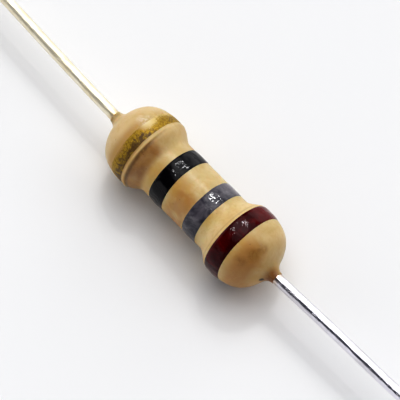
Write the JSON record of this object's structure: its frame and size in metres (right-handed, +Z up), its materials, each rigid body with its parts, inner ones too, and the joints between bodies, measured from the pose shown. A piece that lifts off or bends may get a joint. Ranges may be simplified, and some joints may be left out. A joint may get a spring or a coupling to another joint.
{
  "type": "axial resistor",
  "caption": "Through-hole carbon-film resistor: tan dog-bone lacquer body with brown, grey, black and gold bands, and a straight tinned wire lead from each end.",
  "frame": {"origin": "centre of the lacquered body, on its axis", "axes": "+X along the body's axis towards the first-digit (brown) end, +Y the side that both leads lean to, +Z up"},
  "size_m": [0.0612, 0.0034, 0.0034],
  "materials": {
    "rod_ceramic": "matt fired alumina",
    "carbon": "matt dark carbon film",
    "cap_steel": "pressed plated steel",
    "tinned_wire": "bright tin over steel wire",
    "tan_lacquer": "glossy dipped lacquer",
    "brown_paint": "glossy paint",
    "grey_paint": "glossy paint",
    "black_paint": "glossy paint",
    "gold_paint": "metallic flake paint"
  },
  "bodies": {
    "root": {"ceramic_rod": "rod_ceramic", "carbon_film": "carbon", "end_cap_first": "cap_steel", "end_cap_last": "cap_steel", "lead_first": "tinned_wire", "lead_last": "tinned_wire", "coat": "tan_lacquer", "first_digit_band": "brown_paint", "second_digit_band": "grey_paint", "multiplier_band": "black_paint", "tolerance_band": "gold_paint"}
  },
  "joints": []
}
